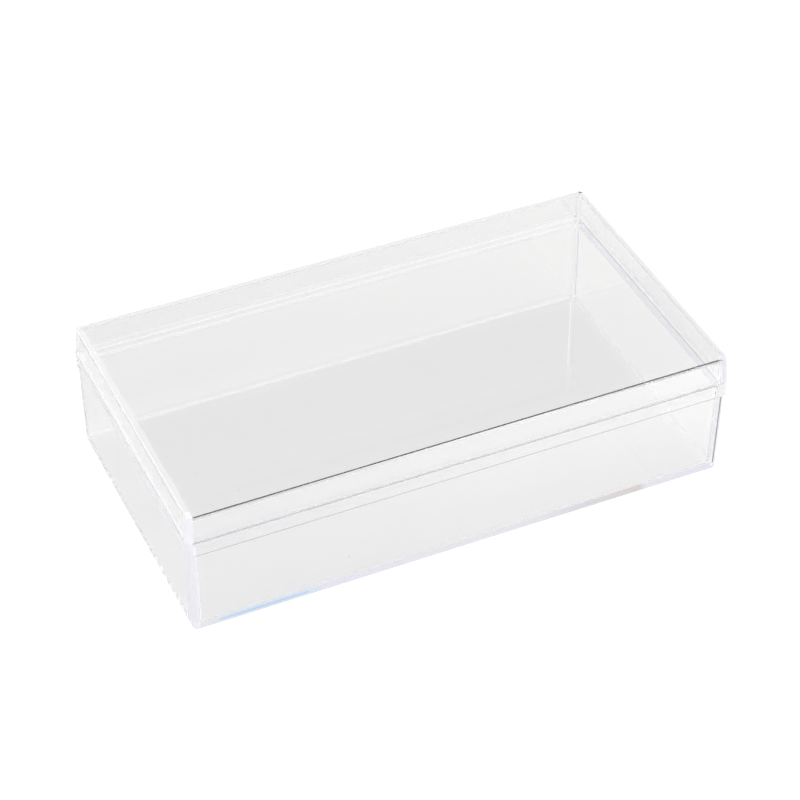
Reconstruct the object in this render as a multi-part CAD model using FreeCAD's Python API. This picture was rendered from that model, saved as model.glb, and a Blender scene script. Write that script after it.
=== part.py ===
import FreeCAD
import Part
import math
import os

# Clear two-piece display box: an open tray, and a lift-off lid that drops over the tray's lip.
# Millimetres, +Z up, origin at the centre of the tray's underside, X along the long side.
# An inset is how far a face stands inside the outline of the closed box.

# Closed box
box_length = 200.0
box_width = 110.0
box_height = 50.0
outer_corner_radius = 1.7
plate_corner_radius = 1.5

# Lid: a flat plate with a skirt that flares towards its open edge
plate_thickness = 1.7
skirt_depth = 10.7
skirt_wall = 1.0
skirt_flare = 4.3
lid_inner_corner_radius = 1.6
plate_edge_radius = 0.38
plate_under_radius = 0.3
skirt_foot_radius = 0.1

# Tray: tapered walls, a collar under the skirt, and a lip that rises inside the skirt
collar_depth = 5.6
collar_step = 0.5
collar_draft = 0.5
collar_top_radius = 0.4
collar_low_radius = 0.08
lip_draft = 1.0
lip_corner_radius = 1.6
rim_thickness = 0.42
rim_edge_radius = 0.1
tray_floor = 1.6
tray_taper = 0.7
tray_bottom_radius = 0.5

# Inside of the tray: nearly upright, and a low ramp thickens the wall under the lip
inner_draft = 0.33
ramp_top = 38.0
ramp_low = 34.6
ramp_step = 0.4
tray_inner_corner_radius = 1.9
floor_fillet_radius = 1.3

# Clearances between the lid and the tray
lip_clearance = 0.15
seat_gap = 0.05
rim_gap = 0.3

# Heights
skirt_foot = box_height - skirt_depth
plate_under = box_height - plate_thickness
collar_top = skirt_foot - seat_gap
collar_low = collar_top - collar_depth
rim_top = plate_under - rim_gap

# An edge belongs to a ring when its middle is nearer to the ring than this
match_tolerance = 0.001


def slope(degrees):
    """Sideways travel of a sloping face for each millimetre of height."""
    return math.tan(math.radians(degrees))


def skirt_outside(z):
    """Inset of the skirt's outer face at height z."""
    return slope(skirt_flare) * (z - skirt_foot)


def skirt_inside(z):
    """Inset of the skirt's inner face at height z."""
    return skirt_outside(z) + skirt_wall


def lip_outside(z):
    """Inset of the lip's outer face at height z, closest to the skirt at the rim."""
    return skirt_inside(rim_top) + lip_clearance - slope(lip_draft) * (rim_top - z)


def lip_inside(z):
    """Inset of the lip's inner face at height z."""
    return lip_outside(rim_top) + rim_thickness + slope(inner_draft) * (rim_top - z)


def tray_inside(z):
    """Inset of the tray's inner face at height z, from the ramp down to the floor."""
    return lip_inside(z) + ramp_step


def ramp_inside(z):
    """Inset of the ramp at height z, which joins the lip's inner face to the tray's."""
    return lip_inside(z) + ramp_step * (ramp_top - z) / (ramp_top - ramp_low)


def collar_outside(z):
    """Inset of the collar's face at height z, widest at its lower edge."""
    return slope(collar_draft) * (z - collar_low)


def tray_outside(z):
    """Inset of the tray's outer face below the collar at height z."""
    return collar_step + slope(tray_taper) * (collar_low - z)


def arc_point(centre, radius, degrees):
    """Point on a level circle about the centre."""
    angle = math.radians(degrees)
    return centre + FreeCAD.Vector(radius * math.cos(angle), radius * math.sin(angle), 0)


def outline(inset, radius, z):
    """Closed wire of the rounded rectangle with this inset at height z."""
    centre_x = box_length / 2.0 - inset - radius
    centre_y = box_width / 2.0 - inset - radius
    arcs = []
    for number, (side_x, side_y) in enumerate([(1, 1), (-1, 1), (-1, -1), (1, -1)]):
        centre = FreeCAD.Vector(side_x * centre_x, side_y * centre_y, z)
        points = [arc_point(centre, radius, 90 * number + step) for step in (0, 45, 90)]
        arcs.append(Part.Arc(*points))
    edges = []
    for number, arc in enumerate(arcs):
        following = arcs[(number + 1) % len(arcs)]
        edges.append(arc.toShape())
        edges.append(Part.LineSegment(arc.EndPoint, following.StartPoint).toShape())
    return Part.Wire(edges)


def block(face, low_z, high_z, low_radius, high_radius):
    """Solid inside a sloping face, which is a function that gives its inset at a height."""
    low = outline(face(low_z), low_radius, low_z)
    high = outline(face(high_z), high_radius, high_z)
    return Part.makeLoft([low, high], True, True)


def rounded(solid, face, z, corner_radius, edge_radius):
    """The solid with the ring of edges where this face meets height z rounded off."""
    ring = outline(face(z), corner_radius, z)
    edges = []
    for edge in solid.Edges:
        middle = edge.valueAt((edge.FirstParameter + edge.LastParameter) / 2.0)
        if ring.distToShape(Part.Vertex(middle))[0] < match_tolerance:
            edges.append(edge)
    return solid.makeFillet(edge_radius, edges)


def make_lid():
    """Plate and skirt in one piece, open below."""
    outside = block(skirt_outside, skirt_foot, box_height, outer_corner_radius, plate_corner_radius)
    outside = rounded(outside, skirt_outside, box_height, plate_corner_radius, plate_edge_radius)
    outside = rounded(outside, skirt_outside, skirt_foot, outer_corner_radius, skirt_foot_radius)
    inner = lid_inner_corner_radius
    hollow = block(skirt_inside, skirt_foot, plate_under, inner, inner)
    hollow = rounded(hollow, skirt_inside, plate_under, inner, plate_under_radius)
    lid = outside.cut(hollow)
    return rounded(lid, skirt_inside, skirt_foot, inner, skirt_foot_radius)


def make_tray():
    """Body, collar and lip in one piece, open above."""
    outer = outer_corner_radius
    body = block(tray_outside, 0.0, collar_low, outer, outer)
    body = rounded(body, tray_outside, 0.0, outer, tray_bottom_radius)
    collar = block(collar_outside, collar_low, collar_top, outer, outer)
    collar = rounded(collar, collar_outside, collar_low, outer, collar_low_radius)
    collar = rounded(collar, collar_outside, collar_top, outer, collar_top_radius)
    lip = block(lip_outside, collar_top, rim_top, lip_corner_radius, lip_corner_radius)
    inner = tray_inner_corner_radius
    hollow = block(tray_inside, tray_floor, ramp_low, inner, inner)
    hollow = rounded(hollow, tray_inside, tray_floor, inner, floor_fillet_radius)
    ramp = block(ramp_inside, ramp_low, ramp_top, inner, inner)
    mouth = block(lip_inside, ramp_top, rim_top, inner, inner)
    tray = body.fuse([collar, lip]).cut(hollow.fuse([ramp, mouth]))
    tray = rounded(tray, lip_outside, rim_top, lip_corner_radius, rim_edge_radius)
    return rounded(tray, lip_inside, rim_top, inner, rim_edge_radius)


def main():
    """Write each piece to its own file."""
    os.makedirs("parts", exist_ok=True)
    for name, solid in (("base_tray", make_tray()), ("lid", make_lid())):
        solid.exportStep("parts/" + name + ".step")
        print(name, "valid", solid.isValid(), "solids", len(solid.Solids), "volume mm3", round(solid.Volume))
    print("tray wall halfway up", round(tray_inside(box_height / 2.0) - tray_outside(box_height / 2.0), 2))


main()
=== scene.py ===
# %% [markdown]
# # A clear lidded box
# A small display box moulded in clear plastic: an open tray, and a lid that lifts off. The packed
# model could be shown as it is, with a clear material on it. This lesson models both pieces again
# with fine, smooth edges, because in clear plastic the rounded edges are nearly all that the eye
# sees.

# %% Load the frame
import bpy
import math
from mathutils import Matrix, Vector


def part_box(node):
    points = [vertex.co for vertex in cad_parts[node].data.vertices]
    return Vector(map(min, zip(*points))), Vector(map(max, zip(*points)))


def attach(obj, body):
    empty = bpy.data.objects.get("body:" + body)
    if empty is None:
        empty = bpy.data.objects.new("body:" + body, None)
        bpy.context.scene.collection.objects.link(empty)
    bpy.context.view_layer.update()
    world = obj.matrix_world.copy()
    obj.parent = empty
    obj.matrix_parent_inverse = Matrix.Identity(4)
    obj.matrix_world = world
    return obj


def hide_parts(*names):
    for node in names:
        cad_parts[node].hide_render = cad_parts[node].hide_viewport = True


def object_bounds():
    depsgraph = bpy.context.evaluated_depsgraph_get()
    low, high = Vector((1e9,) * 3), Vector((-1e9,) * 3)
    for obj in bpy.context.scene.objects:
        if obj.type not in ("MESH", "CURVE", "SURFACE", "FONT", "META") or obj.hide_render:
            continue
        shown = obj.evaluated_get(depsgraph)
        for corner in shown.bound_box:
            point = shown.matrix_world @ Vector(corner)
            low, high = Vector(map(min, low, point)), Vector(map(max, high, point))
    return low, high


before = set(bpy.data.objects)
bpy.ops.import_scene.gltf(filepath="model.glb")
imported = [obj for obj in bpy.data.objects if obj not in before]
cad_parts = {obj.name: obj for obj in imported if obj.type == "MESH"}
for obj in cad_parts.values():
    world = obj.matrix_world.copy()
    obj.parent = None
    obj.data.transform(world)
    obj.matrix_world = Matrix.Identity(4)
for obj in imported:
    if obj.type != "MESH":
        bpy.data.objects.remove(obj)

frame_low, frame_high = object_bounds()
print("closed box in metres", [round(v, 4) for v in frame_high - frame_low])

# %% [markdown]
# The real box is two thin-walled mouldings, one seated on the other. Their sizes could all be typed
# in, but the main heights are read from the frame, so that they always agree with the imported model.
# The thin walls are typed in, because the frame gives only the outer corners of each piece.

# %% Heights and walls
mm = 0.001

half_length = frame_high.x
half_width = frame_high.y
lid_top = frame_high.z
skirt_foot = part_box("lid")[0].z
rim_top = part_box("base_tray")[1].z

plate_thickness = 1.7 * mm
skirt_wall = 1.0 * mm
rim_thickness = 0.42 * mm
tray_floor = 1.6 * mm
collar_depth = 5.6 * mm
collar_step = 0.5 * mm
lip_clearance = 0.15 * mm
seat_gap = 0.05 * mm
ramp_top = 38.0 * mm
ramp_low = 34.6 * mm
ramp_step = 0.4 * mm

plate_under = lid_top - plate_thickness
collar_top = skirt_foot - seat_gap
collar_low = collar_top - collar_depth


def in_mm(metres):
    """A length in millimetres, rounded for printing."""
    return round(metres / mm, 2)


print("skirt foot, collar foot and rim at mm", [in_mm(z) for z in (skirt_foot, collar_low, rim_top)])

# %% [markdown]
# A moulding has no sharp edge. Seen from above its walls turn each corner in an arc, and every edge
# is rounded by a few tenths of a millimetre. One radius would do for all of them, but each has its
# own here, because the width of a rounding is the width of the bright or dark line that it makes.

# %% Corner radii and edge roundings
corner_radius = 1.7 * mm
plate_corner_radius = 1.5 * mm
lid_corner_radius = 1.6 * mm
lip_corner_radius = 1.6 * mm
tray_corner_radius = 1.9 * mm

plate_roundness = 0.38 * mm
plate_under_roundness = 0.3 * mm
foot_roundness = 0.1 * mm
collar_top_roundness = 0.4 * mm
collar_low_roundness = 0.08 * mm
rim_roundness = 0.1 * mm
ramp_roundness = 0.3 * mm
floor_roundness = 1.3 * mm
bottom_roundness = 0.5 * mm
root_roundness = 0.1 * mm
print("outer corners turn with a radius of", in_mm(corner_radius), "mm")

# %% [markdown]
# Every wall leans a little, so that the moulding leaves its mould. A face could be given by its four
# corners, but here it is given by its inset, which is how far it stands inside the outline of the
# closed box at some height. One small function for each face then gives every ring of the model.

# %% How far each face stands inside the outline
skirt_flare = 4.3
lip_draft = 1.0
collar_draft = 0.5
tray_taper = 0.7
inner_draft = 0.33


def slope(degrees):
    """Sideways travel for each unit of height."""
    return math.tan(math.radians(degrees))


def skirt_outside(z):
    """The lid's outer face, widest at its foot."""
    return slope(skirt_flare) * (z - skirt_foot)


def skirt_inside(z):
    """The lid's inner face."""
    return skirt_outside(z) + skirt_wall


def lip_outside(z):
    """The outer face of the tray's lip, closest to the skirt at the rim."""
    return skirt_inside(rim_top) + lip_clearance - slope(lip_draft) * (rim_top - z)


def collar_outside(z):
    """The collar's face, widest at its lower edge."""
    return slope(collar_draft) * (z - collar_low)


def tray_outside(z):
    """The tray's outer face below the collar."""
    return collar_step + slope(tray_taper) * (collar_low - z)


def lip_inside(z):
    """The tray's inner face above the ramp."""
    return lip_outside(rim_top) + rim_thickness + slope(inner_draft) * (rim_top - z)


def tray_inside(z):
    """The tray's inner face below the ramp."""
    return lip_inside(z) + ramp_step


wall_at_floor = tray_inside(tray_floor) - tray_outside(tray_floor)
print("tray wall at the floor and at the rim, mm", in_mm(wall_at_floor), in_mm(rim_thickness))

# %% [markdown]
# Each real piece is one continuous wall. It could be cut out of a block, but cuts leave long thin
# faces that shade badly in clear plastic. So each piece is drawn as a box is modelled by hand: a
# plane gets its four corners rounded, and that face is the first ring. Each ring also keeps how
# round its edge will be, as a bevel weight.

# %% The first ring of a piece
corner_steps = 40
round_profile = 0.5
widest_edge = 3.0 * mm


def round_ring(piece, roundness):
    """The edges of the selected face get the bevel weight that rounds them by this much."""
    bpy.ops.object.mode_set(mode="OBJECT")
    weights = piece.data.attributes["bevel_weight_edge"].data
    for edge in piece.data.edges:
        if edge.select:
            weights[edge.index].value = roundness / widest_edge
    bpy.ops.object.mode_set(mode="EDIT")


def start_piece(name, z, inset, radius, roundness):
    """A flat sheet with round corners, which is the first ring and the first face."""
    bpy.ops.object.select_all(action="DESELECT")
    bpy.ops.mesh.primitive_plane_add(size=1.0, location=(0, 0, 0))
    piece = bpy.context.object
    piece.name = name
    piece.data.name = name
    piece.data.attributes.new("bevel_weight_edge", "FLOAT", "EDGE")
    size = (2 * (half_length - inset), 2 * (half_width - inset), 1)
    bpy.ops.object.mode_set(mode="EDIT")
    bpy.ops.mesh.select_mode(type="VERT")
    bpy.ops.mesh.select_all(action="SELECT")
    bpy.ops.transform.resize(value=size, center_override=(0, 0, 0))
    bpy.ops.transform.translate(value=(0, 0, z))
    bpy.ops.mesh.bevel(affect="VERTICES", offset=radius, segments=corner_steps, profile=round_profile)
    bpy.ops.mesh.select_mode(type="FACE")
    bpy.ops.mesh.select_all(action="SELECT")
    piece["z"], piece["inset"], piece["radius"] = z, inset, radius
    round_ring(piece, roundness)
    return piece


print("steps in a corner", corner_steps)

# %% [markdown]
# From ring to ring a moulded wall leans, steps in or out, and turns its corners with another radius.
# Scaling the whole face would pull the corners out of round. So the face is extruded straight up or
# down, and each of its corners is scaled about the centre of its own arc and moved by itself.

# %% The next ring
corner_sides = ((1, 1), (-1, 1), (-1, -1), (1, -1))


def corner_centre(side_x, side_y, inset, radius):
    """Where the arc of a rounded corner has its centre."""
    return Vector((side_x * (half_length - inset - radius), side_y * (half_width - inset - radius), 0))


def select_corner(piece, ring, side_x, side_y):
    """Selects the ring's vertices in one quarter of the box, and nothing else."""
    for index in ring:
        place = piece.data.vertices[index].co
        piece.data.vertices[index].select = place.x * side_x > 0 and place.y * side_y > 0
    for group in (piece.data.edges, piece.data.polygons):
        for part in group:
            part.select = False


def next_ring(piece, z, inset, radius, roundness):
    """The face is extruded to a new height, and each of its corners moves to the new ring."""
    bpy.ops.mesh.extrude_region_move(TRANSFORM_OT_translate={"value": (0, 0, z - piece["z"])})
    bpy.ops.object.mode_set(mode="OBJECT")
    ring = [vertex.index for vertex in piece.data.vertices if vertex.select]
    for side_x, side_y in corner_sides:
        old = corner_centre(side_x, side_y, piece["inset"], piece["radius"])
        shift = corner_centre(side_x, side_y, inset, radius) - old
        select_corner(piece, ring, side_x, side_y)
        bpy.ops.object.mode_set(mode="EDIT")
        bpy.ops.mesh.select_mode(type="VERT")
        grow = radius / piece["radius"]
        bpy.ops.transform.resize(value=(grow, grow, 1), center_override=(old.x, old.y, z))
        bpy.ops.transform.translate(value=shift)
        bpy.ops.object.mode_set(mode="OBJECT")
        for index in ring:
            piece.data.vertices[index].select = False
    for index in ring:
        piece.data.vertices[index].select = True
    bpy.ops.object.mode_set(mode="EDIT")
    bpy.ops.mesh.select_mode(type="VERT")
    bpy.ops.mesh.select_mode(type="FACE")
    piece["z"], piece["inset"], piece["radius"] = z, inset, radius
    round_ring(piece, roundness)


print("corners in a ring", len(corner_sides))

# %% [markdown]
# The mould rounds every edge by its own amount, and polished plastic shows any kink in the shading.
# The roundings could be cut in by hand, but the weights that the rings kept let one Bevel modifier
# make them all. A Weighted Normal modifier then lets the large flat faces set the shading beside
# them, so that a wall looks flat right up to its rounded edge.

# %% Rounding and shading a finished piece
edge_steps = 8
smooth_below = math.radians(35)
flat_face_weight = 100


def finish_piece(piece):
    """Rounds the weighted edges, and lets the large flat faces set the shading beside them."""
    bpy.ops.mesh.select_all(action="SELECT")
    bpy.ops.mesh.normals_make_consistent(inside=False)
    bpy.ops.object.mode_set(mode="OBJECT")
    bevel = piece.modifiers.new("round_edges", "BEVEL")
    bevel.limit_method = "WEIGHT"
    bevel.width = widest_edge
    bevel.segments = edge_steps
    bevel.use_clamp_overlap = False
    bpy.ops.object.modifier_apply(modifier=bevel.name)
    bpy.ops.object.shade_smooth_by_angle(angle=smooth_below)
    even = piece.modifiers.new("even_normals", "WEIGHTED_NORMAL")
    even.keep_sharp = True
    even.weight = flat_face_weight
    bpy.ops.object.modifier_apply(modifier=even.name)
    del piece["z"], piece["inset"], piece["radius"]
    print(piece.name, len(piece.data.polygons), "faces")


print("steps in a rounded edge", edge_steps)

# %% [markdown]
# The tray carries the lid on a shallow collar near its top, and a thin lip rises from the collar into
# the lid. It could be a box with a ledge added, but a moulding is one skin, so it is drawn as one.
# The tray starts as its underside. The face climbs the outer wall, steps out for the collar, steps
# in for the lip, turns over the rim and goes down past the ramp to the floor.

# %% The tray
tray = start_piece("tray_shell", 0.0, tray_outside(0.0), corner_radius, bottom_roundness)
next_ring(tray, collar_low, tray_outside(collar_low), corner_radius, root_roundness)
next_ring(tray, collar_low, collar_outside(collar_low), corner_radius, collar_low_roundness)
next_ring(tray, collar_top, collar_outside(collar_top), corner_radius, collar_top_roundness)
next_ring(tray, collar_top, lip_outside(collar_top), lip_corner_radius, root_roundness)
next_ring(tray, rim_top, lip_outside(rim_top), lip_corner_radius, rim_roundness)
next_ring(tray, rim_top, lip_inside(rim_top), tray_corner_radius, rim_roundness)
next_ring(tray, ramp_top, lip_inside(ramp_top), tray_corner_radius, ramp_roundness)
next_ring(tray, ramp_low, tray_inside(ramp_low), tray_corner_radius, ramp_roundness)
next_ring(tray, tray_floor, tray_inside(tray_floor), tray_corner_radius, floor_roundness)
finish_piece(tray)

# %% [markdown]
# The lid is a flat plate with a skirt that flares towards its open edge. A plate with four walls set
# under it would show seams inside the plastic, so the lid is made in one skin as well. It starts as
# its top: the face goes down the skirt, in across the skirt's foot, and up to the plate's underside.

# %% The lid
lid = start_piece("lid_shell", lid_top, skirt_outside(lid_top), plate_corner_radius, plate_roundness)
next_ring(lid, skirt_foot, skirt_outside(skirt_foot), corner_radius, foot_roundness)
next_ring(lid, skirt_foot, skirt_inside(skirt_foot), lid_corner_radius, foot_roundness)
next_ring(lid, plate_under, skirt_inside(plate_under), lid_corner_radius, plate_under_roundness)
finish_piece(lid)

# %% [markdown]
# The finishes are node trees made in code. Each node could be added and linked in place, which takes
# four lines every time, so a few small helpers keep the finishes readable. A mask is a number that is
# 1 where something shows and 0 elsewhere, and two masks are joined by one Math node.

# %% Number nodes
def math_node(tree, operation, first, second=None, third=None):
    """One Math node; each input is a socket to link from or a plain number."""
    node = tree.nodes.new("ShaderNodeMath")
    node.operation = operation
    for socket, value in zip(node.inputs, (first, second, third)):
        if isinstance(value, bpy.types.NodeSocket):
            tree.links.new(value, socket)
        elif value is not None:
            socket.default_value = value
    return node.outputs[0]


def is_over(tree, value, limit):
    """1 where the value is above the limit."""
    return math_node(tree, "GREATER_THAN", value, limit)


def is_under(tree, value, limit):
    """1 where the value is below the limit."""
    return math_node(tree, "LESS_THAN", value, limit)


def where_both(tree, first, second):
    """The product of two masks: 1 where both are 1."""
    return math_node(tree, "MULTIPLY", first, second)


def where_either(tree, first, second):
    """The larger of two masks: 1 where either is 1."""
    return math_node(tree, "MAXIMUM", first, second)


def between(tree, value, low, high):
    """1 while the value is between two limits."""
    above = is_over(tree, value, low)
    return where_both(tree, above, is_under(tree, value, high))


def soft_step(tree, value, start, end):
    """Goes smoothly from 0 to 1 while the value goes from start to end."""
    node = tree.nodes.new("ShaderNodeMapRange")
    node.interpolation_type = "SMOOTHSTEP"
    node.inputs["From Min"].default_value = start
    node.inputs["From Max"].default_value = end
    tree.links.new(value, node.inputs["Value"])
    return node.outputs["Result"]


print("number helpers ready")

# %% [markdown]
# Noise gives the faint unevenness of a moulded and handled face, and the Mix node lays one colour
# over another. The Mix node keeps its colour sockets after its number sockets under the same names,
# so they are picked by their place in its list.

# %% Noise and colour nodes
mix_under, mix_over, mixed_colour = 6, 7, 2


def noise_node(tree, place, scale, detail):
    """Soft random values that follow the place on the piece."""
    node = tree.nodes.new("ShaderNodeTexNoise")
    node.inputs["Scale"].default_value = scale
    node.inputs["Detail"].default_value = detail
    tree.links.new(place, node.inputs["Vector"])
    return node.outputs["Fac"]


def blend_colours(tree, factor, first, second):
    """Mixes two colours; each is a socket or a plain colour."""
    node = tree.nodes.new("ShaderNodeMix")
    node.data_type = "RGBA"
    tree.links.new(factor, node.inputs["Factor"])
    for socket, value in ((node.inputs[mix_under], first), (node.inputs[mix_over], second)):
        if isinstance(value, bpy.types.NodeSocket):
            tree.links.new(value, socket)
        else:
            socket.default_value = (*value, 1)
    return node.outputs[mixed_colour]


print("colour sockets of the Mix node", mix_under, mix_over, mixed_colour)

# %% [markdown]
# Clear plastic gathers a few specks of dust. They could be modelled as grains, but at this size a
# speck is only a dot. Voronoi cells give one dot each, and only the cells with a high random value
# keep theirs, so that the dots lie far apart and unevenly.

# %% Specks of dust
speck_spacing = 10.0 * mm
speck_radius = 0.4 * mm
speck_core = 0.4
least_random = 0.7
speck_colour = (0.7, 0.68, 0.65)


def dust(tree, place):
    """1 on a few small specks, 0 elsewhere."""
    cells = tree.nodes.new("ShaderNodeTexVoronoi")
    cells.inputs["Scale"].default_value = 1 / speck_spacing
    tree.links.new(place, cells.inputs["Vector"])
    edge = speck_radius / speck_spacing
    near = soft_step(tree, cells.outputs["Distance"], edge, speck_core * edge)
    random_colour = tree.nodes.new("ShaderNodeSeparateColor")
    tree.links.new(cells.outputs["Color"], random_colour.inputs[0])
    chosen = is_over(tree, random_colour.outputs[0], least_random)
    return where_both(tree, near, chosen)


print("radius of a speck and width of its cell, mm", in_mm(speck_radius), in_mm(speck_spacing))

# %% [markdown]
# The plastic is clear and polished, with a high refractive index. Handling has dulled it very
# slightly in patches, and its faces are a few thousandths of a millimetre off flat. All of this
# could be left out, but perfectly even plastic looks drawn. A painted tint is a mask with a colour,
# which the light takes as it goes through the plastic there; the tints paint shade and tones of light.

# %% The moulded surface
refractive_index = 1.59
clear_colour = (1, 1, 1)
handled_scale, handled_detail = 35.0, 4.0
handled_starts, handled_full = 0.55, 0.8
handled_roughness = 0.02
wave_scale, wave_detail = 60.0, 1.0
waviness = 0.002 * mm


def moulded_surface(tree, place, split, painted_tints):
    """Clear plastic with dust, painted tints of shade and light, handled patches and slightly wavy faces.
    """
    plastic = tree.nodes.new("ShaderNodeBsdfPrincipled")
    plastic.inputs["Transmission Weight"].default_value = 1.0
    plastic.inputs["IOR"].default_value = refractive_index
    colour = blend_colours(tree, dust(tree, place), clear_colour, speck_colour)
    # Each painted tint colours the light that goes through, standing in for shade and tones of light.
    for painted_tint, tint_colour in painted_tints:
        colour = blend_colours(tree, painted_tint(tree, split), colour, tint_colour)
    tree.links.new(colour, plastic.inputs["Base Color"])
    patches = noise_node(tree, place, handled_scale, handled_detail)
    handled = soft_step(tree, patches, handled_starts, handled_full)
    tree.links.new(math_node(tree, "MULTIPLY", handled, handled_roughness), plastic.inputs["Roughness"])
    bump = tree.nodes.new("ShaderNodeBump")
    bump.inputs["Distance"].default_value = waviness
    tree.links.new(noise_node(tree, place, wave_scale, wave_detail), bump.inputs["Height"])
    tree.links.new(bump.outputs[0], plastic.inputs["Normal"])
    return plastic.outputs[0]


print("refractive index", refractive_index, "and roughness up to", handled_roughness)

# %% [markdown]
# In the real box some light runs along inside the walls and comes out at their edges and corners,
# which shine as pale bands. Light this narrow would need an exact copy of the studio's lamps and
# very long renders. Instead this light is painted on: a thin matt layer covers a share of the
# surface where the light comes out. It takes the light of the room, and where that is not enough it
# adds a weak glow of its own. Where its colour is dark, the same layer paints shade.

# %% Painted light on the surface
def with_painted_light(tree, surface, mask, share, colour, glow):
    """The surface with painted light, a pale matt layer, over the part that the mask picks, covering this
    share of it.
    """
    matt = tree.nodes.new("ShaderNodeBsdfDiffuse")
    shine = tree.nodes.new("ShaderNodeEmission")
    for socket in (matt.inputs["Color"], shine.inputs["Color"]):
        if isinstance(colour, bpy.types.NodeSocket):
            tree.links.new(colour, socket)
        else:
            socket.default_value = (*colour, 1)
    shine.inputs["Strength"].default_value = glow
    lit_and_glowing = tree.nodes.new("ShaderNodeAddShader")
    tree.links.new(matt.outputs[0], lit_and_glowing.inputs[0])
    tree.links.new(shine.outputs[0], lit_and_glowing.inputs[1])
    mix = tree.nodes.new("ShaderNodeMixShader")
    tree.links.new(math_node(tree, "MULTIPLY", mask, share), mix.inputs[0])
    tree.links.new(surface, mix.inputs[1])
    tree.links.new(lit_and_glowing.outputs[0], mix.inputs[2])
    return mix.outputs[0]


print("film helper ready")

# %% [markdown]
# The walls look grey and the edges look pale lavender, because light that has run a long way inside
# the plastic keeps a little more blue. Colouring the surface would tint everything alike, so the
# colour is a volume absorption, which grows with the way through. Shadow rays and diffuse rays pass
# straight through the box, because a renderer finds focused light slowly and noisily. The paper
# below is then lit softly, as in the photo.

# %% The clear plastic
straight_colour = (0.96, 0.96, 0.965)
inner_colour = (0.45, 0.35, 0.75)
inner_density = 0.5


def straight_through(tree, surface):
    """The surface for eyes and mirrors; plain see-through plastic for shadows and soft light."""
    through = tree.nodes.new("ShaderNodeBsdfTransparent")
    through.inputs["Color"].default_value = (*straight_colour, 1)
    path = tree.nodes.new("ShaderNodeLightPath")
    straight = where_either(tree, path.outputs["Is Shadow Ray"], path.outputs["Is Diffuse Ray"])
    mix = tree.nodes.new("ShaderNodeMixShader")
    tree.links.new(straight, mix.inputs[0])
    tree.links.new(surface, mix.inputs[1])
    tree.links.new(through.outputs[0], mix.inputs[2])
    return mix.outputs[0]


def clear_plastic(name, painted_tints, painted_lights):
    """Painted tints are masks with a colour, and painted lights have a mask, a share, a colour and a glow.
    """
    material = bpy.data.materials.new(name)
    material.use_nodes = True
    tree = material.node_tree
    tree.nodes.clear()
    output = tree.nodes.new("ShaderNodeOutputMaterial")
    coordinates = tree.nodes.new("ShaderNodeTexCoord")
    place = coordinates.outputs["Object"]
    split = tree.nodes.new("ShaderNodeSeparateXYZ")
    tree.links.new(place, split.inputs[0])
    surface = moulded_surface(tree, place, split, painted_tints)
    # Each painted light lays pale light, a glow or shade over the surface.
    for painted_light, share, colour, glow in painted_lights:
        shade = colour(tree, split) if callable(colour) else colour
        surface = with_painted_light(tree, surface, painted_light(tree, split), share, shade, glow)
    tree.links.new(straight_through(tree, surface), output.inputs["Surface"])
    absorb = tree.nodes.new("ShaderNodeVolumeAbsorption")
    absorb.inputs["Color"].default_value = (*inner_colour, 1)
    absorb.inputs["Density"].default_value = inner_density
    tree.links.new(absorb.outputs[0], output.inputs["Volume"])
    return material


print("colour that the plastic keeps inside", inner_colour)

# %% [markdown]
# The marks of light and dark on the real box follow its edges. They could be painted on an image,
# but masks made from the place on the piece stay sharp at any size and move with the lid. Many of
# them are worked out from how deep a point lies behind one of the leaning outer faces. A strip joins
# two such depths into a band that wraps an upright front corner.

# %% Masks made from the place on a piece
front_skin = 0.9 * mm
strip_blend = 0.3 * mm
left_side, right_side = -1.0, 1.0


def near_front(tree, split, inset):
    """1 on the front face of a piece, which stands at this inset."""
    return is_under(tree, split.outputs["Y"], inset + front_skin - half_width)


def depth(tree, split, outward, half, face):
    """How deep a point lies behind an upright outer face, which leans with height."""
    lean = (face(lid_top) - face(0.0)) / lid_top
    inset = math_node(tree, "MULTIPLY_ADD", split.outputs["Z"], lean, face(0.0))
    return math_node(tree, "SUBTRACT", math_node(tree, "SUBTRACT", half, outward), inset)


def strip(tree, split, face, side, side_width, front_width):
    """A band round one upright front corner, from its side face and from its front face."""
    sideways = math_node(tree, "MULTIPLY", split.outputs["X"], side)
    beside = depth(tree, split, sideways, half_length, face)
    forward = math_node(tree, "MULTIPLY", split.outputs["Y"], -1.0)
    behind = depth(tree, split, forward, half_width, face)
    by_side = soft_step(tree, beside, side_width, side_width - strip_blend)
    by_front = soft_step(tree, behind, front_width, front_width - strip_blend)
    return where_both(tree, by_side, by_front)


print("bands fade over", in_mm(strip_blend), "mm")

# %% [markdown]
# The lid's front top edge is a thin dark line from corner to corner, and the skirt's foot and the
# collar's foot are fainter dark lines, because the light caught in them never leaves towards the
# eye. A darker room would darken every edge, so these three lines are painted shade, tinted into
# the plastic by themselves.

# %% Dark lines along the front
edge_line_light = (0.03, 0.03, 0.035)
edge_line_outer, edge_line_inner = 0.9, 0.75
edge_line_left, edge_line_right = 2.3 * mm, 4.3 * mm

skirt_foot_light = (0.3, 0.3, 0.3)
collar_foot_light = (0.38, 0.38, 0.4)
skirt_line = 0.4 * mm
collar_line = 0.42 * mm
collar_line_inset = -0.5 * mm
line_core = 0.8


def dark_front_edge(tree, split):
    """The middle of the rounding between the lid's top and its front, where shade is painted."""
    outward = math_node(tree, "SUBTRACT", split.outputs["Z"], split.outputs["Y"])
    corner = lid_top + half_width - skirt_outside(lid_top)
    line_starts = corner - edge_line_outer * plate_roundness
    line_full = corner - edge_line_inner * plate_roundness
    line = soft_step(tree, outward, line_starts, line_full)
    from_left = is_over(tree, split.outputs["X"], edge_line_left - half_length)
    to_right = is_under(tree, split.outputs["X"], half_length - edge_line_right)
    return where_both(tree, line, where_both(tree, from_left, to_right))


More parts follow.
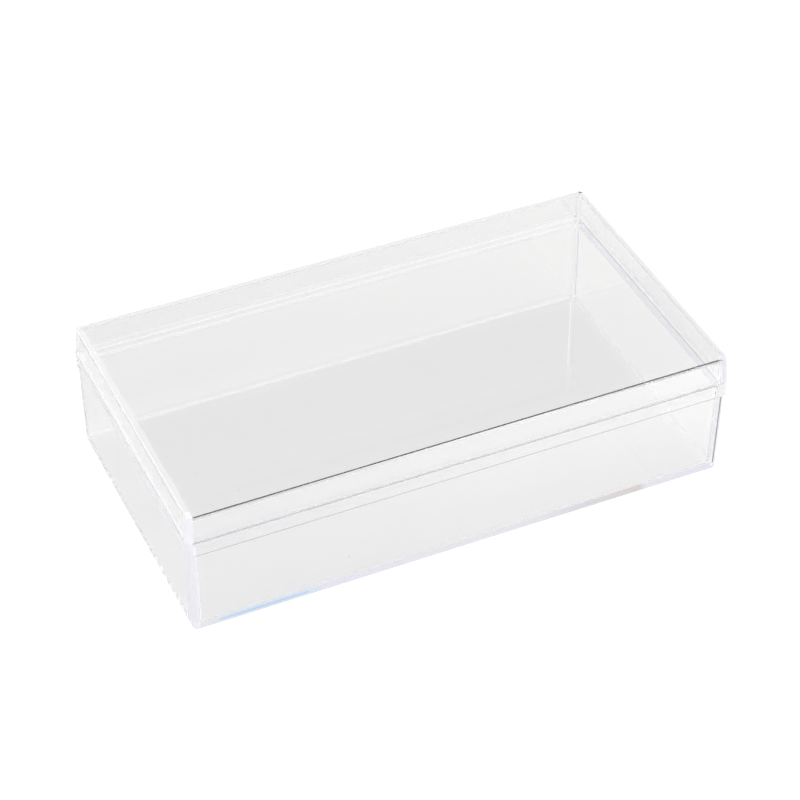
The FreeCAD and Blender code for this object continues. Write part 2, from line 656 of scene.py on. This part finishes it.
def dark_skirt_foot(tree, split):
    """A line of painted shade along the open edge of the lid's front."""
    low = soft_step(tree, split.outputs["Z"], skirt_foot + skirt_line, skirt_foot + line_core * skirt_line)
    return where_both(tree, low, near_front(tree, split, 0.0))


def dark_collar_foot(tree, split):
    """A line of painted shade along the collar's lower front edge, only on the part that stands proud."""
    line_full = collar_low + line_core * collar_line
    below = soft_step(tree, split.outputs["Z"], collar_low + collar_line, line_full)
    above = is_over(tree, split.outputs["Z"], collar_low)
    return where_both(tree, where_both(tree, below, above), near_front(tree, split, collar_line_inset))


print("dark lines of", in_mm(skirt_line), "and", in_mm(collar_line), "mm")

# %% [markdown]
# Inside the tray's wall a low ramp joins the thin lip to the thicker wall below. Seen through the
# right wall it is a violet band under a darker line, and the lid's plate has one small dark corner
# at the back right. All three are tones of light that comes through, so they are painted as tints:
# the band as a painted violet tone of light, the line and the corner as painted shade.

# %% The violet ramp and the dark back corner
ramp_light = (0.86, 0.84, 0.93)
ramp_line_light = (0.5, 0.48, 0.58)
ramp_face_starts, ramp_face_ends = 1.9 * mm, 3.2 * mm
ramp_line_below, ramp_line_above = 0.4 * mm, 0.3 * mm

back_corner_light = (0.15, 0.12, 0.3)
back_corner_width = 2.4 * mm
back_corner_height = 1.0 * mm


def right_ramp(tree, split, low, high):
    """A level band on the inside of the tray's right wall, where a tone of light is painted."""
    wall = between(tree, split.outputs["X"], half_length - ramp_face_ends, half_length - ramp_face_starts)
    return where_both(tree, wall, between(tree, split.outputs["Z"], low, high))


def violet_ramp(tree, split):
    """The whole ramp inside the right wall, painted a violet tone of light."""
    return right_ramp(tree, split, ramp_low, ramp_top)


def dark_ramp_line(tree, split):
    """The upper edge of that ramp, a line of painted shade."""
    return right_ramp(tree, split, ramp_top - ramp_line_below, ramp_top + ramp_line_above)


def dark_back_corner(tree, split):
    """The small corner of the lid's plate at the back right, painted dark as shade."""
    by_side = is_over(tree, split.outputs["X"], half_length - back_corner_width)
    by_back = is_over(tree, split.outputs["Y"], half_width - back_corner_width)
    high = is_over(tree, split.outputs["Z"], lid_top - back_corner_height)
    return where_both(tree, high, where_both(tree, by_side, by_back))


print("the ramp is", in_mm(ramp_top - ramp_low), "mm high")

# %% [markdown]
# The upright front corners are pale lavender bands, wider at the left, where the photo shows both
# faces of the corner. A band is given by how far it reaches from the side face and from the front
# face, which is simpler than cutting these corners out as faces of their own.

# %% Pale bands at the upright front corners
# The pale bands are painted highlights, laid on the corners as pale light.
tray_left_band = (2.5 * mm, 5.0 * mm)
tray_right_band = (1.4 * mm, 2.0 * mm)
lid_left_band = (2.2 * mm, 3.5 * mm)
lid_right_band = (2.4 * mm, 2.0 * mm)


def tray_corners(tree, split):
    """Painted highlights on both front corners of the tray."""
    left = strip(tree, split, tray_outside, left_side, *tray_left_band)
    right = strip(tree, split, tray_outside, right_side, *tray_right_band)
    return where_either(tree, left, right)


def left_lid_corner(tree, split):
    """A painted highlight on the lid's front left corner."""
    return strip(tree, split, skirt_outside, left_side, *lid_left_band)


def right_lid_corner(tree, split):
    """A painted highlight on the lid's front right corner."""
    return strip(tree, split, skirt_outside, right_side, *lid_right_band)


print("the tray's left band reaches", [in_mm(reach) for reach in tray_left_band], "mm")

# %% [markdown]
# Beside the front right corner the tray's front shows a dark upright line with a pale band next to
# it, and the end of the collar above them is pale. All three are painted: the line as painted shade,
# the band and the collar's end as painted highlights. Each is what is left of a wide strip when a
# narrower one is taken away, so that all of them follow the corner's lean.

# %% Upright lines beside the front right corner
right_line_light = (0.22, 0.2, 0.28)
dark_band = (1.7 * mm, 2.2 * mm)
pale_band = (2.2 * mm, 3.2 * mm)
collar_end_band = (1.0 * mm, 3.2 * mm)
upright_reach = 1.0 * mm
upright_low, upright_high = 3.0 * mm, collar_low - 0.5 * mm
collar_end_low = collar_low - 0.3 * mm


def right_upright(tree, split, start, end, low, high):
    """An upright band on the tray's front beside its right corner, where light and shade are painted."""
    wide = strip(tree, split, tray_outside, right_side, end, upright_reach)
    narrow = strip(tree, split, tray_outside, right_side, start, upright_reach)
    level = between(tree, split.outputs["Z"], low, high)
    return where_both(tree, math_node(tree, "SUBTRACT", wide, narrow), level)


def dark_upright(tree, split):
    """The painted shade where the tray's front begins to turn into its right corner."""
    return right_upright(tree, split, *dark_band, upright_low, upright_high)


def pale_upright(tree, split):
    """The painted highlight beside the dark line."""
    return right_upright(tree, split, *pale_band, upright_low, upright_high)


def collar_right_end(tree, split):
    """The collar's end at the front right, painted pale as a highlight."""
    return right_upright(tree, split, *collar_end_band, collar_end_low, collar_top)


print("upright lines from", in_mm(upright_low), "to", in_mm(upright_high), "mm")

# %% [markdown]
# Along the tray's front foot the light fans out into colours, blue at the left, faintly brown near
# the right and lavender at the end, as a prism does. Cycles does not split light into colours, so
# the fan is painted light: a pale layer whose colour comes from a Color Ramp that runs along the box.

# %% The fan of light along the front foot
foot_colours = (
    (0.0, (0.9, 0.9, 0.93)),
    (0.03, (0.9, 0.9, 0.93)),
    (0.07, (0.78, 0.88, 1.0)),
    (0.12, (0.74, 0.86, 1.0)),
    (0.2, (0.78, 0.89, 1.0)),
    (0.25, (0.9, 0.88, 1.0)),
    (0.45, (0.92, 0.9, 0.95)),
    (0.65, (0.9, 0.89, 0.93)),
    (0.72, (0.8, 0.78, 0.86)),
    (0.78, (0.8, 0.76, 0.77)),
    (0.84, (0.77, 0.7, 0.69)),
    (0.855, (0.9, 0.89, 0.97)),
    (1.0, (0.86, 0.85, 0.95)),
)
foot_band = (0.35 * mm, 3.2 * mm)
blue_band = (1.4 * mm, 1.9 * mm)
blue_part = (0.05, 0.21)
any_position = 0.5


def along_front(tree, split):
    """From 0 at the left end of the box to 1 at the right end."""
    along = tree.nodes.new("ShaderNodeMapRange")
    along.inputs["From Min"].default_value = -half_length
    along.inputs["From Max"].default_value = half_length
    tree.links.new(split.outputs["X"], along.inputs["Value"])
    return along.outputs[0]


def foot_colour(tree, split):
    """The colours of the fan of light, from left to right."""
    ramp = tree.nodes.new("ShaderNodeValToRGB")
    stops = ramp.color_ramp.elements
    while len(stops) < len(foot_colours):
        stops.new(any_position)
    for stop, (position, shade) in zip(stops, foot_colours):
        stop.position = position
        stop.color = (*shade, 1)
    tree.links.new(along_front(tree, split), ramp.inputs[0])
    return ramp.outputs["Color"]


def front_foot(tree, split):
    """The lowest part of the tray's front, above its rounded edge, where the fan of light is painted."""
    low = between(tree, split.outputs["Z"], *foot_band)
    return where_both(tree, low, near_front(tree, split, tray_outside(0.0)))


def blue_line(tree, split):
    """The deepest blue in the painted fan of light."""
    low = between(tree, split.outputs["Z"], *blue_band)
    part = between(tree, along_front(tree, split), *blue_part)
    return where_both(tree, where_both(tree, low, part), near_front(tree, split, tray_outside(0.0)))


print("the fan of light has", len(foot_colours), "colour stops")

# %% [markdown]
# Inside the tray, light comes out at the back right corner and where the floor turns up into the
# walls, and there it is painted on as pale lines. These roundings could be faces with a material of
# their own, but a mask by depth behind the outer faces picks the inner skin of the wall without
# touching the outer one.

# %% Pale lines at the inner corner and round the floor
inner_skin = 1.7 * mm
corner_from_right, corner_from_back = 2.8 * mm, 3.4 * mm
floor_reach = 2.9 * mm
floor_band = (1.4 * mm, 2.7 * mm)


def inside_depths(tree, split):
    """How deep a point of the tray lies behind its right face and behind its back face."""
    return (depth(tree, split, split.outputs["X"], half_length, tray_outside),
            depth(tree, split, split.outputs["Y"], half_width, tray_outside))


def inside_corner(tree, split):
    """The tray's upright inner corner at the back right, which gets a painted highlight."""
    to_right, to_back = inside_depths(tree, split)
    near_right = between(tree, to_right, inner_skin, corner_from_right)
    return where_both(tree, near_right, between(tree, to_back, inner_skin, corner_from_back))


def floor_edges(tree, split):
    """The rounding between the tray's floor and its right and back walls, which gets a painted highlight.
    """
    to_right, to_back = inside_depths(tree, split)
    near_right = between(tree, to_right, inner_skin, floor_reach)
    near_back = between(tree, to_back, inner_skin, floor_reach)
    low = between(tree, split.outputs["Z"], *floor_band)
    return where_both(tree, low, where_either(tree, near_right, near_back))


print("inner marks start at a depth of", in_mm(inner_skin), "mm")

# %% [markdown]
# The ramp and the lip shine too, and this light is painted on as well: the ramp inside the left wall
# as a pale band, the ramp inside the back wall as two pale lines, and the lip's foot at the left as
# one. They are level, so a height and a wall are enough to find them.

# %% Pale lines on the ramp and the lip
ramp_line_half = 0.3 * mm
ramp_foot_line = (0.8 * mm, 1.4 * mm)
lip_face_starts, lip_face_ends = 0.9 * mm, 2.0 * mm
lip_line_below, lip_line_above = 0.1 * mm, 0.9 * mm


def left_ramp(tree, split):
    """The ramp inside the tray's left wall, which gets a painted pale band."""
    wall = between(tree, split.outputs["X"], ramp_face_starts - half_length, ramp_face_ends - half_length)
    return where_both(tree, wall, between(tree, split.outputs["Z"], ramp_low, ramp_top))


def back_ramp_lines(tree, split):
    """Two level lines of painted highlight on the ramp inside the tray's back wall."""
    to_back = inside_depths(tree, split)[1]
    wall = between(tree, to_back, inner_skin, corner_from_back)
    top = between(tree, split.outputs["Z"], ramp_top - ramp_line_half, ramp_top + ramp_line_half)
    line_low, line_high = ramp_foot_line
    foot = between(tree, split.outputs["Z"], ramp_low + line_low, ramp_low + line_high)
    return where_both(tree, wall, where_either(tree, top, foot))


def left_lip(tree, split):
    """A level line of painted highlight on the outside of the lip at the left."""
    wall = between(tree, split.outputs["X"], lip_face_starts - half_length, lip_face_ends - half_length)
    line = between(tree, split.outputs["Z"], collar_top - lip_line_below, collar_top + lip_line_above)
    return where_both(tree, wall, line)


print("ramp between", in_mm(ramp_low), "and", in_mm(ramp_top), "mm")

# %% [markdown]
# At the back the skirt's foot and the collar's foot show through the box as pale lines. At the front
# the same two edges are dark, so these lines can't come from one look for the whole edge: they are
# painted highlights on the outside of the back wall, between its corners.

# %% Pale lines at the back
back_skin = 1.6 * mm
back_left_end, back_right_end = 3.0 * mm, 2.4 * mm
seam_below, seam_above = 0.6 * mm, 0.4 * mm
collar_foot_half = 0.3 * mm


def at_back(tree, split):
    """1 on the outside of the back, between the corners."""
    outside = is_over(tree, split.outputs["Y"], half_width - back_skin)
    middle = between(tree, split.outputs["X"], back_left_end - half_length, half_length - back_right_end)
    return where_both(tree, outside, middle)


def back_seam(tree, split):
    """Where the skirt's foot meets the collar at the back, which gets a painted highlight."""
    level = between(tree, split.outputs["Z"], collar_top - seam_below, skirt_foot + seam_above)
    return where_both(tree, at_back(tree, split), level)


def back_collar_foot(tree, split):
    """The collar's lower edge at the back, which gets a painted highlight."""
    level = between(tree, split.outputs["Z"], collar_low - collar_foot_half, collar_low + collar_foot_half)
    return where_both(tree, at_back(tree, split), level)


print("back lines at", in_mm(skirt_foot), "and", in_mm(collar_low), "mm")

# %% [markdown]
# The lid's plate has a pale border along its left, back and right edges, where light leaves the
# plate sideways. A frame of separate faces would show its joints in clear plastic, so the border is
# painted light, laid on by a mask again. The dark corner at the back right is taken out of it.

# %% The pale border of the plate
plate_skin = 0.5 * mm
back_border, right_border = 2.0 * mm, 1.4 * mm
left_edge_width, left_border_width = 0.5 * mm, 2.4 * mm


def far_plate_edges(tree, split):
    """The lid's top along its back edge and its right edge, where a pale highlight is painted."""
    to_back = depth(tree, split, split.outputs["Y"], half_width, skirt_outside)
    by_back = is_under(tree, to_back, back_border)
    to_right = depth(tree, split, split.outputs["X"], half_length, skirt_outside)
    by_right = is_under(tree, to_right, right_border)
    high = is_over(tree, split.outputs["Z"], lid_top - plate_skin)
    edges = where_both(tree, high, where_either(tree, by_back, by_right))
    without_corner = math_node(tree, "SUBTRACT", edges, dark_back_corner(tree, split))
    return math_node(tree, "MAXIMUM", without_corner, 0.0)


def plate_margin(tree, split, width):
    """The lid's top along its left edge, where a highlight is painted."""
    leftward = math_node(tree, "MULTIPLY", split.outputs["X"], -1.0)
    by_left = is_under(tree, depth(tree, split, leftward, half_length, skirt_outside), width)
    high = is_over(tree, split.outputs["Z"], lid_top - plate_skin)
    return where_both(tree, high, by_left)


def plate_edge(tree, split):
    """The narrow painted highlight at the very edge."""
    return plate_margin(tree, split, left_edge_width)


def plate_border(tree, split):
    """The wider, fainter painted highlight beside it."""
    return plate_margin(tree, split, left_border_width)


print("the border is up to", in_mm(left_border_width), "mm wide")

# %% [markdown]
# Now each piece's marks are put together. A painted tint has a mask and a colour, and a painted
# light has a mask, the share of the surface that it covers, a colour and a glow. They could be built
# into the material's function, but plain lists are easier to compare and to change.

# %% The marks of the tray
white = (1.0, 1.0, 1.0)
lavender = (0.95, 0.94, 1.0)
deep_blue = (0.35, 0.52, 0.9)

# Painted tints: shade and tones of light, tinted into the plastic.
tray_painted_tints = [
    (dark_collar_foot, collar_foot_light),
    (violet_ramp, ramp_light),
    (dark_ramp_line, ramp_line_light),
]
# Painted lights: pale highlights and glows, and one dark line of painted shade.
tray_painted_lights = [
    (front_foot, 0.85, foot_colour, 0.0),
    (blue_line, 0.6, deep_blue, 0.0),
    (dark_upright, 0.75, right_line_light, 0.0),
    (pale_upright, 0.6, white, 0.0),
    (collar_right_end, 0.8, white, 0.0),
    (tray_corners, 0.8, lavender, 0.0),
    (left_ramp, 0.8, lavender, 0.05),
    (left_lip, 0.8, white, 0.15),
    (inside_corner, 0.8, white, 0.08),
    (floor_edges, 0.55, white, 0.05),
    (back_ramp_lines, 0.7, white, 0.2),
    (back_seam, 0.85, white, 0.1),
    (back_collar_foot, 0.85, white, 0.06),
]
print("the tray has", len(tray_painted_tints), "stains and", len(tray_painted_lights), "painted_lights")

# %% [markdown]
# The lid's marks take the same form. One list for both pieces would be shorter, but only the seam at
# the back is common to them.

# %% The marks of the lid
dim_lavender = (0.88, 0.87, 0.95)
pale_grey = (0.88, 0.88, 0.88)

# Painted tints: lines and a corner of painted shade.
lid_painted_tints = [
    (dark_front_edge, edge_line_light),
    (dark_skirt_foot, skirt_foot_light),
    (dark_back_corner, back_corner_light),
]
# Painted lights: pale highlights on corners, edges and the back seam.
lid_painted_lights = [
    (left_lid_corner, 0.8, lavender, 0.05),
    (right_lid_corner, 0.8, dim_lavender, 0.0),
    (plate_edge, 0.6, white, 0.05),
    (plate_border, 0.4, white, 0.02),
    (far_plate_edges, 0.7, pale_grey, 0.0),
    (back_seam, 0.85, white, 0.1),
]
print("the lid has", len(lid_painted_tints), "stains and", len(lid_painted_lights), "painted_lights")

# %% [markdown]
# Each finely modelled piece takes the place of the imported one, wears its plastic and moves with its
# body, so that the lid lifts off whole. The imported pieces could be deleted, but hiding them keeps the
# link between the model that is tested and the one that is shown.

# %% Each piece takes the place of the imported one
dressing = (
    (tray, "base_tray", "tray", "tray_plastic", tray_painted_tints, tray_painted_lights),
    (lid, "lid", "lid", "lid_plastic", lid_painted_tints, lid_painted_lights),
)
for piece, node, body, slot, painted_tints, painted_lights in dressing:
    piece.data.materials.append(clear_plastic(slot, painted_tints, painted_lights))
    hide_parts(node)
    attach(piece, body)
    print(piece.name, "rides", body)

# %% [markdown]
# The box stands on white paper. More lamps would make the paper white, but they would also wash out
# the box. So the paper glows a little by itself where it is seen directly, in a reflection or through
# the plastic. Diffuse rays don't see the glow, so it adds no light to the box.

# %% The paper that the box stands on
paper_size = 8.0
paper_drop = 0.1 * mm
paper_colour = (0.8, 0.8, 0.79)

bpy.ops.object.select_all(action="DESELECT")
bpy.ops.mesh.primitive_plane_add(size=paper_size, location=(0, 0, -paper_drop))
floor = bpy.context.object
floor.name = "floor"

paper = bpy.data.materials.new("floor_paper")
paper.use_nodes = True
tree = paper.node_tree
tree.nodes.clear()
floor.data.materials.append(paper)
output = tree.nodes.new("ShaderNodeOutputMaterial")
matt = tree.nodes.new("ShaderNodeBsdfDiffuse")
matt.inputs["Color"].default_value = (*paper_colour, 1)
path = tree.nodes.new("ShaderNodeLightPath")
coordinates = tree.nodes.new("ShaderNodeTexCoord")
split = tree.nodes.new("ShaderNodeSeparateXYZ")
tree.links.new(coordinates.outputs["Object"], split.inputs[0])
along = soft_step(tree, split.outputs["X"], -half_length, half_length)
print("paper", paper_size, "m wide, just below the tray")

# %% [markdown]
# The tones of the box come mostly from the paper that is seen through its walls. Seen that way, the
# paper glows a little more under the front half of the box and in front of it, and a little less
# behind it at the left. These are gentle steps over the paper, chosen instead of lamps because a
# lamp would also show as a highlight in every edge.

# %% The glow seen through the plastic
glow_in_plastic = 0.14
under_starts, under_full = 5 * mm, -15 * mm
under_rise, under_least = 0.03, 0.01
behind_reach = 20 * mm
behind_rise, behind_least = 0.05, -0.05

in_plastic = where_either(tree, path.outputs["Is Glossy Ray"], path.outputs["Is Transmission Ray"])
under_front = soft_step(tree, split.outputs["Y"], under_starts, under_full)
left_of_end = is_under(tree, split.outputs["X"], half_length)
under_box = where_both(tree, under_front, left_of_end)
under_level = math_node(tree, "MULTIPLY_ADD", along, under_rise, under_least)
under_glow = math_node(tree, "MULTIPLY", under_box, under_level)
behind = soft_step(tree, split.outputs["Y"], half_width, half_width + behind_reach)
behind_level = math_node(tree, "MULTIPLY_ADD", along, behind_rise, behind_least)
behind_glow = math_node(tree, "MULTIPLY", behind, behind_level)
change = math_node(tree, "ADD", under_glow, behind_glow)
plastic_glow = math_node(tree, "ADD", change, glow_in_plastic)
print("glow through the plastic", glow_in_plastic)

# %% [markdown]
# The box's front mirrors the paper that lies in front of it, more strongly towards the right. Only a
# mirrored ray should see this, and Cycles calls a ray that went through plastic glossy as well, so
# Is Transmission Ray is taken off. The three glows are then added and laid over the matt paper.

# %% The glow seen directly and in mirrors
glow_direct = 0.36
glow_mirrored = 0.8
front_reach = 40 * mm
mirror_rise, mirror_least = 0.7, 0.3

mirrored = math_node(tree, "SUBTRACT", path.outputs["Is Glossy Ray"], path.outputs["Is Transmission Ray"])
in_front = soft_step(tree, split.outputs["Y"], -half_width, -half_width - front_reach)
mirror_level = math_node(tree, "MULTIPLY_ADD", along, mirror_rise, mirror_least)
front_glow = math_node(tree, "MULTIPLY", where_both(tree, mirrored, in_front), mirror_level)
direct = math_node(tree, "MULTIPLY", path.outputs["Is Camera Ray"], glow_direct)
with_plastic = math_node(tree, "MULTIPLY_ADD", in_plastic, plastic_glow, direct)
whole_glow = math_node(tree, "MULTIPLY_ADD", front_glow, glow_mirrored, with_plastic)

glow = tree.nodes.new("ShaderNodeEmission")
tree.links.new(whole_glow, glow.inputs["Strength"])
lit_paper = tree.nodes.new("ShaderNodeAddShader")
tree.links.new(matt.outputs[0], lit_paper.inputs[0])
tree.links.new(glow.outputs[0], lit_paper.inputs[1])
tree.links.new(lit_paper.outputs[0], output.inputs["Surface"])
print("glow seen directly and in mirrors", glow_direct, glow_mirrored)

# %% [markdown]
# The light is one soft room, written as a world. Lamps would each leave a hard highlight in the
# plastic, where the photo has none. The backdrop is bright all round near the horizon, which is what
# the rounded edges pick up, but a little less so at the back and at the right. Higher up it is
# dimmer, and brighter at the right than at the left.

# %% The room's light
low_level, low_right, low_back = 1.3, -0.13, -0.2
high_level, high_right, high_back = 0.8, 0.1, 0.0
low_ends, high_starts = 0.2, 0.42

world = bpy.data.worlds.new("studio")
bpy.context.scene.world = world
world.use_nodes = True
tree = world.node_tree
tree.nodes.clear()
place = tree.nodes.new("ShaderNodeTexCoord")
split = tree.nodes.new("ShaderNodeSeparateXYZ")
tree.links.new(place.outputs["Generated"], split.inputs[0])


def toward(direction):
    """How far the ray looks in this direction, times the direction's own length."""
    node = tree.nodes.new("ShaderNodeVectorMath")
    node.operation = "DOT_PRODUCT"
    node.inputs[1].default_value = direction
    tree.links.new(place.outputs["Generated"], node.inputs[0])
    return node.outputs["Value"]


low = math_node(tree, "ADD", toward((low_right, low_back, 0)), low_level)
high = math_node(tree, "ADD", toward((high_right, high_back, 0)), high_level)
rise = soft_step(tree, split.outputs["Z"], low_ends, high_starts)
low_part = math_node(tree, "MULTIPLY", low, math_node(tree, "SUBTRACT", 1.0, rise))
light_level = math_node(tree, "MULTIPLY_ADD", high, rise, low_part)
print("light near the horizon", low_level, "and higher up", high_level)

# %% [markdown]
# One patch of the room is a little darker, which the lid's plate mirrors, and a soft box hangs high
# at the right, which lights the walls from there. Real flats and lamps could stand in the scene,
# but as patches of the world they take no setting up and hide nothing. The camera itself sees plain
# white.

# %% A dark flat and a soft box
dark_direction = (0.32, 0.696, 0.643)
dark_starts, dark_full = 0.82, 0.94
dark_share = 0.14
box_direction = (0.75, 0.1, 0.65)
box_starts, box_full = 0.94, 0.97
box_level = 3.0

dark_flat = soft_step(tree, toward(dark_direction), dark_starts, dark_full)
shade = math_node(tree, "MULTIPLY", dark_flat, dark_share)
shaded_level = math_node(tree, "MULTIPLY", light_level, math_node(tree, "SUBTRACT", 1.0, shade))
soft_box = soft_step(tree, toward(box_direction), box_starts, box_full)
room_level = math_node(tree, "MULTIPLY_ADD", soft_box, box_level, shaded_level)

output = tree.nodes.new("ShaderNodeOutputWorld")
white_ground = tree.nodes.new("ShaderNodeBackground")
white_ground.inputs["Color"].default_value = (1, 1, 1, 1)
room = tree.nodes.new("ShaderNodeBackground")
room.inputs["Color"].default_value = (1, 1, 1, 1)
tree.links.new(room_level, room.inputs["Strength"])
path = tree.nodes.new("ShaderNodeLightPath")
mix = tree.nodes.new("ShaderNodeMixShader")
tree.links.new(path.outputs["Is Camera Ray"], mix.inputs[0])
tree.links.new(room.outputs[0], mix.inputs[1])
tree.links.new(white_ground.outputs[0], mix.inputs[2])
tree.links.new(mix.outputs[0], output.inputs["Surface"])
print("the dark flat takes", dark_share, "of the light, and the soft box adds", box_level)

# %% [markdown]
# The camera stands where the photo was taken from: in front of the box, a little to its left and well
# above it. It could be placed by eye, but the straight edges of a box pin a camera down, so its
# angles, distance and aim were fitted to them.

# %% Camera
camera_azimuth = -24.679
camera_elevation = 39.966
camera_roll = 0.165
camera_distance = 0.95154
camera_target = Vector((0.01228, 0.02591, 0.0))
camera_lens = 117.06
camera_sensor = 36.0

az = math.radians(camera_azimuth)
el = math.radians(camera_elevation)
back = Vector((math.sin(az) * math.cos(el), -math.cos(az) * math.cos(el), math.sin(el)))
camera = bpy.data.objects.new("camera", bpy.data.cameras.new("camera"))
bpy.context.scene.collection.objects.link(camera)
camera.data.lens = camera_lens
camera.data.sensor_width = camera_sensor
aim = (-back).to_track_quat("-Z", "Y").to_matrix().to_4x4()
turn = aim @ Matrix.Rotation(math.radians(camera_roll), 4, "Z")
camera.matrix_world = Matrix.Translation(camera_target + back * camera_distance) @ turn
bpy.context.scene.camera = camera
print("camera at", [round(v, 3) for v in camera.matrix_world.translation])

# %% [markdown]
# Light passes many faces inside two nested clear boxes, and each pass counts as a bounce. With the
# usual limit the longest paths are cut off and their places go dark. Paler plastic could hide that,
# but raising the limits keeps the true paths. The plain Standard view shows each colour as it is
# written.

# %% Bounces and view
light_bounces = 300
see_through_bounces = 32

scene = bpy.context.scene
scene.view_settings.view_transform = "Standard"
scene.cycles.max_bounces = light_bounces
scene.cycles.transmission_bounces = light_bounces
scene.cycles.glossy_bounces = light_bounces
scene.cycles.transparent_max_bounces = see_through_bounces
print("a ray may bounce", light_bounces, "times")
